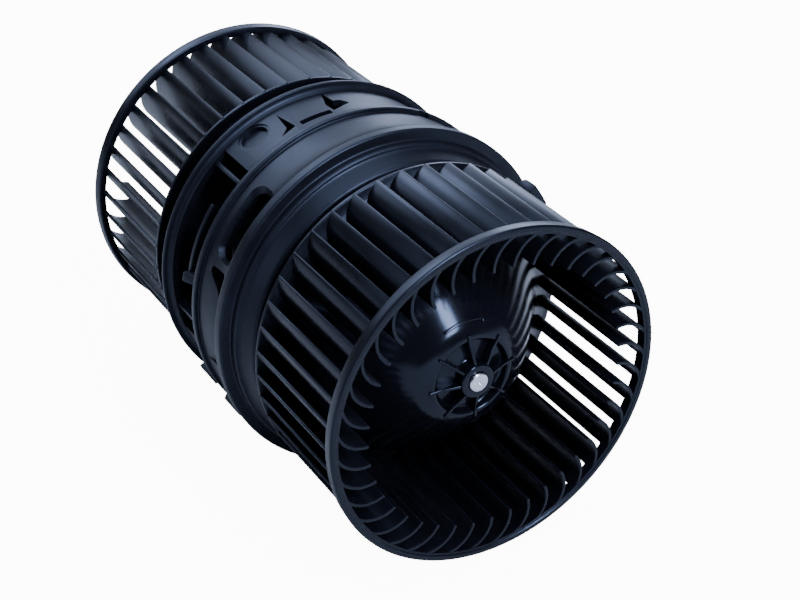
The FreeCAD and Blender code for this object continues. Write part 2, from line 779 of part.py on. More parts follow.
def armature_core():
    """Laminated core with open winding slots."""
    core = Piece("armature_core")
    end = D.core_start + D.core_length
    core.prism("stack", [[(0, 0, D.core_radius)], [(0, 0, SHAFT_BORE)]], D.core_start, end)
    inner, outer, narrow, wide = slot_outline(0)
    mouth = D.slot_mouth / 2
    neck, past = outer + D.slot_neck, D.core_radius + D.let_in
    slot = core.prism("slot", [[
        (past, -mouth), (past, mouth), (neck, mouth), (outer, wide), (inner, narrow),
        (inner, -narrow), (outer, -wide), (neck, -mouth)]], D.core_start, end, cut=True)
    core.pattern("slots", [slot], D.slot_count)


def armature_winding():
    """The copper winding: a bundle at each end joined through the slots."""
    winding = Piece("armature_winding")
    core_end = D.core_start + D.core_length
    count = int(D.slot_count.value)
    rim, eye = ring(D.winding_outer, count, 180 / count), ring(D.winding_inner, count, 180 / count)
    seam = D.push_gap
    near = D.core_start - seam - D.winding_end
    winding.prism("near_bundle", [rim, eye], near, D.core_start - seam)
    inner, outer, narrow, wide = slot_outline(D.slot_liner)
    bar = winding.prism("slot_fill", [[
        (inner, -narrow), (outer, -wide), (outer, wide), (inner, narrow)]],
        D.core_start - D.let_in, core_end + D.let_in)
    winding.pattern("slot_fills", [bar], D.slot_count)
    winding.prism("far_bundle", [rim, eye], core_end + seam, core_end + seam + D.winding_end)


def commutator():
    """Copper bars on the shaft, two flats for each winding slot."""
    drum = Piece("commutator")
    low = D.core_start + D.core_length + D.winding_end + D.commutator_gap
    drum.prism("drum", [ring(D.commutator_radius, int(2 * D.slot_count.value)),
                        [(0, 0, SHAFT_BORE)]], low, low + D.commutator_length)


def motor_shaft():
    shaft = Piece("motor_shaft")
    tip = D.shaft_radius - D.shaft_chamfer
    shaft.turned("rod", [
        (SHAFT_START, 0), (SHAFT_START, tip), (SHAFT_START + D.shaft_chamfer, D.shaft_radius),
        (SHAFT_END - D.shaft_chamfer, D.shaft_radius), (SHAFT_END, tip), (SHAFT_END, 0)])


def brush_card():
    """Moulded plate with a channel for each brush."""
    card = Piece("brush_card")
    side, edge = D.card_half_width, CAN_BORE - 2 * D.push_gap
    rise = leg(edge, side)
    card.prism("plate", [[(side, -rise), (side, rise, edge), (-side, rise), (-side, -rise, edge)],
                         ring(D.card_bore, 12)], D.card_station, CARD_END)
    across = D.brush_width / 2 + D.brush_wall
    play = D.brush_play
    start, end = D.card_bore + D.let_in / 2, BRUSH_END + D.spring_room + D.card_back
    low = D.brush_station - D.brush_height / 2
    block = card.prism("channel_block", [box(-across, across, start, end)],
                       low - D.card_back, D.card_station + D.let_in / 2)
    room = D.brush_width / 2 + play
    channel = card.radial("channel", [box(-room, room, low - play, low + D.brush_height + play)],
                          TOP, BRUSH_END + D.spring_room, D.brush_length + D.spring_room, cut=True)
    card.pattern("channels", [block, channel], 2)


def brush(label, turn):
    """A carbon brush with a hollow end that follows the commutator."""
    block = Piece(label, turn=turn)
    half = D.brush_width / 2
    foot = leg(BRUSH_START, half)
    low = D.brush_station - D.brush_height / 2
    block.prism("block", [[(half, BRUSH_END), (-half, BRUSH_END), (-half, foot, -BRUSH_START),
                           (half, foot)]], low, low + D.brush_height)


def brush_spring(label, turn):
    """A bent leaf behind its brush."""
    leaf = Piece(label, turn=turn)
    play, thick = D.spring_play, D.spring_thick
    half = D.brush_height / 2 - 3 * play
    heel, top = BRUSH_END + play, BRUSH_END + D.spring_room - play / 2
    leaf.plate("leaf", [
        (D.brush_station - half, top - thick), (D.brush_station, heel),
        (D.brush_station + half, top - thick), (D.brush_station + half, top),
        (D.brush_station, heel + thick), (D.brush_station - half, top)],
        D.brush_width - 2 * D.brush_wall)


def terminal(label, way):
    """A strip from the brush card out through the can and up into the socket."""
    strip = Piece(label)
    half, low = D.terminal_thick / 2, CARD_END + D.push_gap
    start, tip = D.terminal_start, SOCKET_TOP - D.terminal_inset
    near, far = D.terminal_bend - half, D.terminal_bend + half
    left, right = D.socket_station - half, D.socket_station + half
    strip.plate("strip", [
        (low, start), (low, near), (left, near), (left, tip), (right, tip), (right, far),
        (low + D.terminal_thick, far), (low + D.terminal_thick, start)],
        D.terminal_width, middle=D.socket_angle, shift=way * D.terminal_pitch / 2)


fan_wheel("near_wheel", NEAR_RIM, 1)
fan_wheel("far_wheel", FAR_RIM, -1)
near_housing()
far_housing()
for side, middle in (("top", TOP), ("left", LEFT), ("right", RIGHT)):
    damper(f"near_{side}_damper", middle, 1 - D.collar_reach)
    damper(f"far_{side}_damper", middle, D.waist_end - 1 - D.pad_length)
motor_can()
end_plate()
bearing("near_bearing", D.can_start + D.can_wall - D.bearing_length)
bearing("far_bearing", PLATE_FACE)
retainer("near_bearing_retainer", D.can_start + D.can_wall + D.push_gap)
retainer("far_bearing_retainer", PLATE_FACE - D.push_gap - D.retainer_thick)
magnet("upper_magnet", 90)
magnet("lower_magnet", 270)
magnet_spring("right_magnet_spring", 0)
magnet_spring("left_magnet_spring", 180)
armature_core()
armature_winding()
commutator()
motor_shaft()
brush_card()
brush("upper_brush", 0)
brush("lower_brush", 180)
brush_spring("upper_brush_spring", 0)
brush_spring("lower_brush_spring", 180)
terminal("plus_terminal", 1)
terminal("minus_terminal", -1)

doc.recompute()
for item in doc.Objects:
    if {"Invalid", "Error"} & set(item.State):
        raise RuntimeError(f"{item.Name} did not compute: {item.State}")

os.makedirs("parts", exist_ok=True)
for body in Piece.made:
    shape = body.Shape
    if shape.isNull() or not shape.isValid() or len(shape.Solids) != 1:
        raise RuntimeError(f"{body.Label} is not one valid solid")
    shape.exportStep(f"parts/{body.Label}.step")
    print(f"{body.Label}: {shape.Volume / 1000:.2f} cm3")
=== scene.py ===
"""Looks of the cabin blower motor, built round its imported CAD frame.

Shapes are in millimetres, with the shaft along Y, the near wheel at -Y and +Z up, and become
metres when they are placed. Angles are in degrees from +X towards +Z, and across is positive
towards smaller angles.
"""
from __future__ import annotations

import logging
import math
import sys
from dataclasses import dataclass
from enum import Enum
from typing import Any, Callable, Iterable, Sequence

import bmesh
import bpy
from mathutils import Matrix, Vector

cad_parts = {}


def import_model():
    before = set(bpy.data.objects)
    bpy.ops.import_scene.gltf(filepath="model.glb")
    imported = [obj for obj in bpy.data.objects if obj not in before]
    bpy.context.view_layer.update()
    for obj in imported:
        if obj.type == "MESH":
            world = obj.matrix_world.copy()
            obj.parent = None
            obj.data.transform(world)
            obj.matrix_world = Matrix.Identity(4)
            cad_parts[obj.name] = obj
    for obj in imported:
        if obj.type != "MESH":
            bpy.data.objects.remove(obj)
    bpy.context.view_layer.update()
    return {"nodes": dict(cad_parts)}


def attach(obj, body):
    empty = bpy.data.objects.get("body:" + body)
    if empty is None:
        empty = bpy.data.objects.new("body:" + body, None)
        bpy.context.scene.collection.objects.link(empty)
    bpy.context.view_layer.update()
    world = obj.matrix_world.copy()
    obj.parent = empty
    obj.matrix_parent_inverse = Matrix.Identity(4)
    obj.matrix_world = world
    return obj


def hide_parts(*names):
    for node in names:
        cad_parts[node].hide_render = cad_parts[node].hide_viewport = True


LOG = logging.getLogger("blower_looks")
MM = 0.001  # metres
TOP = 90.0
BOTH_SIDES = (0.0, 180.0)
FULL_TURN = 2 * math.pi
SMOOTH_BELOW = math.radians(32)
SOFTEN_ABOVE = math.radians(40)
BLADE_EDGE_TURN = math.radians(60)
LONGEST_CHORD = 3.0
ROUND_GAP = 0.01  # keeps full roundings from meeting
COLD_WHITE = "#cfdeff"

Corner = Sequence[float]
Point = tuple[float, float, float]
Shape = bmesh.types.BMesh
Socket = bpy.types.NodeSocket
Tree = bpy.types.NodeTree


class Body(Enum):
    """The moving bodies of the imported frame."""

    CARRIER = "carrier"
    ROTOR = "rotor"


class Way(Enum):
    """Which way along the shaft a wheel opens; the value leads from its rim to the motor."""

    NEAR = 1
    FAR = -1


# finishes


def linear(colour: str) -> tuple[float, float, float, float]:
    """Turns an sRGB hex colour into linear light.

    Args:
        colour: Six hex digits, with or without a leading hash.

    Returns:
        Red, green, blue and an alpha of one.
    """
    digits = colour.lstrip("#")
    parts = [int(digits[i:i + 2], 16) / 255 for i in (0, 2, 4)]
    red, green, blue = (p / 12.92 if p <= 0.04045 else ((p + 0.055) / 1.055) ** 2.4 for p in parts)
    return red, green, blue, 1.0


def add_node(tree: Tree, kind: str, links: dict[Any, Any] | None = None,
             **settings: Any) -> bpy.types.Node:
    """Adds one node with its settings and its inputs.

    Args:
        tree: The material's node tree.
        kind: The node's type name.
        links: For each input, a socket to link from or a value to hold.
        settings: Properties of the node itself.

    Returns:
        The new node.
    """
    made = tree.nodes.new(kind)
    for name, value in settings.items():
        setattr(made, name, value)
    for socket, source in (links or {}).items():
        if isinstance(source, Socket):
            tree.links.new(source, made.inputs[socket])
        else:
            made.inputs[socket].default_value = source
    return made


def blank_material(name: str) -> bpy.types.Material:
    """Makes a material whose node tree is empty.

    Args:
        name: Its name.

    Returns:
        The material.
    """
    made = bpy.data.materials.new(name)
    made.use_nodes = True
    made.node_tree.nodes.clear()
    return made


@dataclass(frozen=True)
class Ground:
    """What all nodes of one finish start from."""

    tree: Tree
    where: Socket  # object coordinates
    along: Socket  # the same, stretched along the grain
    drift: Socket  # slow noise


@dataclass(frozen=True)
class Finish:
    """A surface: what it is made of and how, with its grain in real millimetres.

    The two colours drift into each other over the drift length, the roughness wanders between
    its two values, and the grain stands up by its height. Within the polished distance of the
    shaft axis the roughness is that of a polished tool.
    """

    name: str
    slot: str
    dark: str
    light: str
    smooth: float
    rough: float
    metallic: float = 0.0
    ior: float = 1.5
    drift_mm: float = 18.0
    grain_mm: float = 0.9
    grain_height_mm: float = 0.02
    stretch: tuple[float, float, float] = (1.0, 1.0, 1.0)
    coat: float = 0.0
    sheen_level: float = 0.5
    sheen_tint: str = "#ffffff"
    polished_mm: float = 0.0
    polished_fade_mm: float = 3.0
    polished_rough: float = 0.16
    drift_from: float = 0.3
    drift_to: float = 0.7

    def material(self) -> bpy.types.Material:
        """Builds the material once and returns it again later.

        Returns:
            The material of this name.
        """
        known = bpy.data.materials.get(self.name)
        if known:
            return known
        made = blank_material(self.name)
        tree = made.node_tree
        where = add_node(tree, "ShaderNodeTexCoord").outputs["Object"]
        along = add_node(tree, "ShaderNodeMapping", {
            "Vector": where, "Scale": self.stretch}).outputs["Vector"]
        drift = add_node(tree, "ShaderNodeTexNoise", {
            "Vector": along, "Scale": 1 / (self.drift_mm * MM), "Detail": 3.0,
            "Roughness": 0.5}).outputs["Fac"]
        ground = Ground(tree, where, along, drift)
        bump = add_node(tree, "ShaderNodeBump", {
            "Height": self.relief(ground), "Strength": 1.0,
            "Distance": self.grain_height_mm * MM})
        sheen = {} if self.metallic else {
            "IOR": self.ior, "Specular IOR Level": self.sheen_level,
            "Specular Tint": linear(self.sheen_tint)}
        shader = add_node(tree, "ShaderNodeBsdfPrincipled", {
            "Base Color": self.colour(ground), "Roughness": self.haze(ground),
            "Metallic": self.metallic, "Normal": bump.outputs["Normal"],
            "Coat Weight": self.coat, "Coat Roughness": 0.12, **sheen})
        add_node(tree, "ShaderNodeOutputMaterial", {"Surface": shader.outputs["BSDF"]})
        return made

    def colour(self, ground: Ground) -> Socket:
        """Blends the two colours by the slow drift.

        Args:
            ground: What the nodes share.

        Returns:
            The colour's socket.
        """
        ramp = add_node(ground.tree, "ShaderNodeValToRGB", {"Fac": ground.drift})
        first, last = ramp.color_ramp.elements
        first.position, last.position = self.drift_from, self.drift_to
        first.color, last.color = linear(self.dark), linear(self.light)
        return ramp.outputs["Color"]

    def haze(self, ground: Ground) -> Socket:
        """Gives the roughness, which falls within the polished zone round the shaft.

        Args:
            ground: What the nodes share.

        Returns:
            The roughness's socket.
        """
        wander = add_node(ground.tree, "ShaderNodeMapRange", {
            "Value": ground.drift, "From Min": self.drift_from, "From Max": self.drift_to,
            "To Min": self.smooth, "To Max": self.rough}).outputs["Result"]
        if not self.polished_mm:
            return wander
        across = add_node(ground.tree, "ShaderNodeVectorMath", {
            0: ground.where, 1: (1.0, 0.0, 1.0)}, operation="MULTIPLY").outputs["Vector"]
        radius = add_node(ground.tree, "ShaderNodeVectorMath", {0: across},
                          operation="LENGTH").outputs["Value"]
        edge = self.polished_mm * MM
        return add_node(ground.tree, "ShaderNodeMapRange", {
            "Value": radius, "From Min": edge, "From Max": edge + self.polished_fade_mm * MM,
            "To Min": self.polished_rough, "To Max": wander}).outputs["Result"]

    def relief(self, ground: Ground) -> Socket:
        """Gives the height of the fine grain.

        Args:
            ground: What the nodes share.

        Returns:
            The height's socket.
        """
        return add_node(ground.tree, "ShaderNodeTexNoise", {
            "Vector": ground.along, "Scale": 1 / (self.grain_mm * MM),
            "Detail": 2.0}).outputs["Fac"]


@dataclass(frozen=True)
class Layered(Finish):
    """A surface with even lines across the shaft, such as stacked sheets."""

    pitch_mm: float = 1.4

    def relief(self, ground: Ground) -> Socket:
        """Gives the height of the lines.

        Args:
            ground: What the nodes share.

        Returns:
            The height's socket.
        """
        return add_node(ground.tree, "ShaderNodeTexWave", {
            "Vector": ground.where, "Scale": math.pi / 10 / (self.pitch_mm * MM),
            "Distortion": 0.4}, bands_direction="Y").outputs["Fac"]


# glass-filled polypropylene, soot black with a cold sheen: satin blades, and a bell that comes
# glossy from the polished core of its tool
WHEEL_PLASTIC = Finish("moulded_black_polypropylene", "black_plastic", "#08080b", "#0c0c11",
                       0.26, 0.33, drift_mm=22, grain_mm=1.1, grain_height_mm=0.006,
                       sheen_level=0.3, sheen_tint="#d2e2ff", polished_mm=52.0)
# talc-filled polypropylene from a finely eroded tool: the same black, a little flatter
CARRIER_PLASTIC = Finish("eroded_black_polypropylene", "carrier_plastic", "#09090d", "#0e0e14",
                         0.34, 0.44, drift_mm=26, grain_mm=0.9, grain_height_mm=0.012,
                         sheen_level=0.3, sheen_tint="#d2e2ff")
# moulded rubber: dull, with a light bloom
RUBBER = Finish("moulded_rubber", "rubber", "#161514", "#1f1d1b", 0.7, 0.85, ior=1.52,
                drift_mm=6, grain_mm=0.6, grain_height_mm=0.03)
# deep drawn sheet, zinc plated and passivated: bluish grey with draw lines along the can
ZINC_STEEL = Finish("drawn_zinc_plated_steel", "zinc_steel", "#9298a0", "#b4bac2", 0.28, 0.42, 1.0,
                    drift_mm=9, grain_mm=0.7, grain_height_mm=0.01, stretch=(1.0, 0.15, 1.0))
# sintered bronze soaked with oil: dull golden brown, open pores
BRONZE = Finish("sintered_bronze", "bronze", "#7a5530", "#96703f", 0.45, 0.6, 1.0,
                drift_mm=4, grain_mm=0.35, grain_height_mm=0.03)
# rolled spring strip: dark grey with a faint blue from tempering
SPRING_STEEL = Finish("tempered_spring_steel", "spring_steel", "#5d6169", "#7b8088", 0.3, 0.4, 1.0,
                      drift_mm=8, grain_mm=0.5, grain_height_mm=0.006, stretch=(1.0, 0.2, 1.0))
# pressed and fired ferrite, ground inside: charcoal, matt
FERRITE = Finish("fired_ferrite", "ferrite", "#2b2c2e", "#393a3c", 0.55, 0.7, ior=1.9,
                 drift_mm=5, grain_mm=0.5, grain_height_mm=0.02)
# stampings 0.5 mm thick, drawn 1.4 mm apart so that the lines show
CORE_STEEL = Layered("stacked_core_stampings", "core_steel", "#54575c", "#6d7177", 0.4, 0.55, 1.0,
                     drift_mm=7, grain_height_mm=0.12)
# enamelled wire 0.8 mm thick, drawn 1.6 mm apart so that the turns show
COPPER = Layered("enamelled_copper_wire", "copper", "#7d3a1b", "#a8562c", 0.22, 0.32, 1.0,
                 drift_mm=5, grain_height_mm=0.35, coat=0.6, pitch_mm=1.6)
# ground and polished: bright, with a light turned end
SHAFT_STEEL = Finish("ground_shaft_steel", "shaft_steel", "#c9ccd0", "#e3e5e8", 0.16, 0.3, 1.0,
                     drift_mm=1.6, grain_mm=0.5, grain_height_mm=0.02)
# moulded phenolic card: dark brown, semi-matt
CARD_PLASTIC = Finish("moulded_phenolic", "card_plastic", "#2a1d14", "#382719", 0.42, 0.55,
                      ior=1.6, drift_mm=7, grain_mm=0.7, grain_height_mm=0.015)
# pressed carbon and copper powder: soft grey-black
CARBON = Finish("pressed_carbon", "carbon", "#232325", "#343436", 0.5, 0.65, 0.3,
                drift_mm=3, grain_mm=0.4, grain_height_mm=0.02)
# rolled brass strip, tin plated: pale and satin
TIN_BRASS = Finish("tinned_brass_strip", "tin_brass", "#b9b8ae", "#d0cfc6", 0.25, 0.36, 1.0,
                   drift_mm=5, grain_mm=0.6, grain_height_mm=0.006)


# shaping


def stand(shape: Shape, angle: float) -> Shape:
    """Turns what stands at the top about the shaft to another angle.

    Args:
        shape: The mesh to turn.
        angle: Degrees from +X towards +Z.

    Returns:
        The same mesh.
    """
    bmesh.ops.rotate(shape, verts=shape.verts, cent=(0, 0, 0),
                     matrix=Matrix.Rotation(math.radians(TOP - angle), 4, "Y"))
    return shape


def verts_in(geometry: Iterable[Any]) -> list[bmesh.types.BMVert]:
    """Picks the vertices out of an operator's result."""
    return [item for item in geometry if isinstance(item, bmesh.types.BMVert)]


def oblong(half: float, low: float, high: float, rounding: float = 0.0) -> list[Corner]:
    """Gives the corners of a rectangle that stands evenly on both sides.

    Args:
        half: Half its width across.
        low: The station where it starts.
        high: The station where it ends.
        rounding: Radius of its corners.

    Returns:
        Its (across, station) corners.
    """
    return [(-half, low, rounding), (half, low, rounding), (half, high, rounding),
            (-half, high, rounding)]


def draw(shape: Shape, corners: Iterable[Corner], spot: Callable[[Corner], Vector],
         segments: int = 5) -> list[bmesh.types.BMVert]:
    """Draws a closed outline and rounds its corners.

    Args:
        shape: The mesh that takes the outline.
        corners: Two plane coordinates each, and where it is rounded a third, the radius.
        spot: Turns a corner into its place.
        segments: Pieces in each rounding.

    Returns:
        The outline's vertices.
    """
    corners = list(corners)
    points = [shape.verts.new(spot(corner)) for corner in corners]
    for ends in zip(points, points[1:] + points[:1]):
        shape.edges.new(ends)
    by_radius: dict[float, list[bmesh.types.BMVert]] = {}
    for corner, point in zip(corners, points):
        if len(corner) > 2 and corner[2] > 0:
            by_radius.setdefault(corner[2], []).append(point)
    for radius, rounded in by_radius.items():
        bmesh.ops.bevel(shape, geom=rounded, offset=radius, offset_type="OFFSET",
                        segments=segments, profile=0.5, affect="VERTICES", material=-1)
    return list(shape.verts)


def in_shaft_plane(corner: Corner) -> Vector:
    """Places a (station, radius) corner above the shaft."""
    return Vector((0.0, corner[0], corner[1]))


def lathe(corners: Iterable[Corner], steps: int = 240, segments: int = 5) -> Shape:
    """Turns a closed (station, radius) outline into a full ring.

    Args:
        corners: Corners of the outline, with a rounding each where they have one.
        steps: Facets round the ring.
        segments: Pieces in each rounding.

    Returns:
        The ring.
    """
    shape = bmesh.new()
    draw(shape, corners, in_shaft_plane, segments)
    bmesh.ops.spin(shape, geom=shape.verts[:] + shape.edges[:], cent=(0, 0, 0), axis=(0, 1, 0),
                   angle=FULL_TURN, steps=steps, use_merge=True)
    bmesh.ops.remove_doubles(shape, verts=shape.verts, dist=1e-4)
    bmesh.ops.recalc_face_normals(shape, faces=shape.faces)
    return shape


def sector(corners: Iterable[Corner], middle: float, width: float, steps: int = 24) -> Shape:
    """Turns a (station, radius) outline part of the way round.

    Args:
        corners: Corners of the outline.
        middle: Angle of its middle.
        width: Degrees that it spans.
        steps: Facets along it.

    Returns:
        The closed part ring.
    """
    shape = bmesh.new()
    points = draw(shape, corners, in_shaft_plane, 3)
    bmesh.ops.contextual_create(shape, geom=points + shape.edges[:])
    stand(shape, middle + width / 2)
    bmesh.ops.spin(shape, geom=shape.verts[:] + shape.edges[:] + shape.faces[:],
                   cent=(0, 0, 0), axis=(0, 1, 0), angle=math.radians(width), steps=steps)
    bmesh.ops.recalc_face_normals(shape, faces=shape.faces)
    return shape


def raise_outline(shape: Shape, reach: Vector) -> None:
    """Draws an outline out into a solid and fills it first where it has no face.

    Args:
        shape: The mesh that holds one closed outline.
        reach: How far and which way it goes.
    """
    if not shape.faces:
        bmesh.ops.contextual_create(shape, geom=shape.verts[:] + shape.edges[:])
    grown = bmesh.ops.extrude_face_region(shape, geom=shape.faces[:])["geom"]
    bmesh.ops.translate(shape, verts=verts_in(grown), vec=reach)
    bmesh.ops.recalc_face_normals(shape, faces=shape.faces)


def boss(corners: Iterable[Corner], middle: float, low: float, high: float,
         segments: int = 6) -> Shape:
    """Draws an (across, station) outline outwards from one radius to another.

    Args:
        corners: Corners of the outline.
        middle: Angle at which it stands.
        low: Radius where it starts.
        high: Radius where it ends.
        segments: Pieces in each rounding.

    Returns:
        The closed solid.
    """
    shape = bmesh.new()
    draw(shape, corners, lambda corner: Vector((corner[0], corner[1], low)), segments)
    raise_outline(shape, Vector((0, 0, high - low)))
    return stand(shape, middle)


def patch(corners: Iterable[Corner], middle: float, low: float, high: float, at: float,
          grow: tuple[float, float] = (1.0, 1.0), shift: float = 0.0) -> Shape:
    """Draws an outline out from a ring, with across measured round the ring.

    Args:
        corners: (across, station) corners.
        middle: Angle at which it stands.
        low: Radius where it starts.
        high: Radius where it ends.
        at: Radius of the ring.
        grow: How many times wider across and along the shaft the outer end is.
        shift: How far the outer end moves across.

    Returns:
        The closed solid.
    """
    shape = bmesh.new()
    draw(shape, corners, lambda corner: Vector((corner[0], corner[1], low)), 6)
    for edge in shape.edges[:]:
        if edge.calc_length() > LONGEST_CHORD:
            bmesh.ops.subdivide_edges(shape, edges=[edge], cuts=int(edge.calc_length() // 2))
    raise_outline(shape, Vector((0, 0, high - low)))
    outer = [vert for vert in shape.verts if vert.co.z > (low + high) / 2]
    sides = [[getattr(vert.co, axis) for vert in outer] for axis in "xy"]
    centre = Vector((*((min(side) + max(side)) / 2 for side in sides), 0))
    bmesh.ops.scale(shape, vec=(*grow, 1.0), space=Matrix.Translation(-centre), verts=outer)
    bmesh.ops.translate(shape, vec=(shift, 0, 0), verts=outer)
    bmesh.ops.triangulate(shape, faces=[face for face in shape.faces if len(face.verts) > 4])
    for vert in shape.verts:
        turn = vert.co.x / at
        vert.co = Vector((vert.co.z * math.sin(turn), vert.co.y, vert.co.z * math.cos(turn)))
    return stand(shape, middle)


def plate(corners: Iterable[Corner], thick: float, middle: float = TOP) -> Shape:
    """Gives a (station, radius) outline a thickness across the shaft's plane.

    Args:
        corners: Corners of the outline.
        thick: Thickness of the plate.
        middle: Angle at which it stands.

    Returns:
        The closed solid.
    """
    shape = bmesh.new()
    draw(shape, corners, lambda corner: Vector((-thick / 2, corner[0], corner[1])), 4)
    raise_outline(shape, Vector((thick, 0, 0)))
    return stand(shape, middle)


def round_edges(shape: Shape, edges: Sequence[bmesh.types.BMEdge], width: float,
                segments: int) -> None:
    """Rounds the given edges.

    Args:
        shape: The mesh that they belong to.
        edges: The edges.
        width: How far the rounding reaches along each face.
        segments: Faces across the rounding.
    """
    bmesh.ops.bevel(shape, geom=edges, offset=width, offset_type="OFFSET", segments=segments,
                    profile=0.5, affect="EDGES", clamp_overlap=True, material=-1)


def soften(shape: Shape, width: float, segments: int = 2) -> Shape:
    """Rounds the sharp edges.

    Args:
        shape: The mesh to round.
        width: How far the rounding reaches along each face.
        segments: Faces across the rounding.

    Returns:
        The same mesh.
    """
    round_edges(shape, [edge for edge in shape.edges if len(edge.link_faces) == 2
                        and edge.calc_face_angle() > SOFTEN_ABOVE], width, segments)
    return shape


def turned_copies(shape: Shape, count: int) -> Shape:
    """Repeats a whole mesh evenly round the shaft.

    Args:
        shape: The mesh of the first one.
        count: How many there are in all.

    Returns:
        The same mesh with its copies.
    """
    first = shape.verts[:] + shape.edges[:] + shape.faces[:]
    bmesh.ops.spin(shape, geom=first, cent=(0, 0, 0), axis=(0, 1, 0),
                   angle=FULL_TURN * (count - 1) / count, steps=count - 1, use_duplicate=True)
    return shape


def in_scene(name: str, data: bpy.types.ID) -> bpy.types.Object:
    """Makes an object in the scene.

    Args:
        name: Its name.
        data: Its mesh, lamp or camera.

    Returns:
        The object.
    """
    made = bpy.data.objects.new(name, data)
    bpy.context.scene.collection.objects.link(made)
    return made


def written(name: str, shape: Shape) -> bpy.types.Mesh:
    """Writes a shape out as mesh data and frees it.

    Args:
        name: Name of the data.
        shape: The shape.

    Returns:
        The data.
    """
    mesh = bpy.data.meshes.new(name)
    shape.to_mesh(mesh)
    shape.free()
    return mesh


def joined(parts: Iterable[Shape]) -> Shape:
    """Puts several meshes into one and frees them.

    Args:
        parts: The meshes.

    Returns:
        The one mesh.
    """
    whole = bmesh.new()
    for part in parts:
        carried = written("carried", part)
        whole.from_mesh(carried)
        bpy.data.meshes.remove(carried)
    return whole


def carved(shape: Shape, cutters: Iterable[Shape]) -> Shape:
    """Takes the cutters out of a closed solid.

    Args:
        shape: The solid.
        cutters: Closed solids that don't meet each other.

    Returns:
        The carved mesh.
    """
    meshes = [written("carving", part) for part in (shape, joined(cutters))]
    block, tool = (in_scene("carving", mesh) for mesh in meshes)
    cut = block.modifiers.new("cut", "BOOLEAN")
    cut.operation, cut.solver, cut.object = "DIFFERENCE", "EXACT", tool
    graph = bpy.context.evaluated_depsgraph_get()
    graph.update()
    result = bpy.data.meshes.new_from_object(block.evaluated_get(graph))
    left = bmesh.new()
    left.from_mesh(result)
    for thing in (block, tool):
        bpy.data.objects.remove(thing)
    for mesh in meshes + [result]:
        bpy.data.meshes.remove(mesh)
    return left


def place(name: str, shape: Shape, finish: Finish, body: Body, nodes: Sequence[str]) -> None:
    """Turns a mesh in millimetres into a dressed piece on its body.

    Args:
        name: Plain name of the piece.
        shape: The mesh, freed afterwards.
        finish: What it is made of.
        body: The body that carries it.
        nodes: The frame's nodes that it stands for.
    """
    bmesh.ops.scale(shape, vec=(MM, MM, MM), verts=shape.verts)
    mesh = written(name, shape)
    mesh.shade_smooth()
    mesh.set_sharp_from_angle(angle=SMOOTH_BELOW)
    mesh.materials.append(finish.material())
    piece = in_scene(name, mesh)
    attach(piece, body.value)
    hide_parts(*nodes)
    LOG.info("%s: %d faces, %s", name, len(mesh.polygons), finish.name)


# sub-assemblies


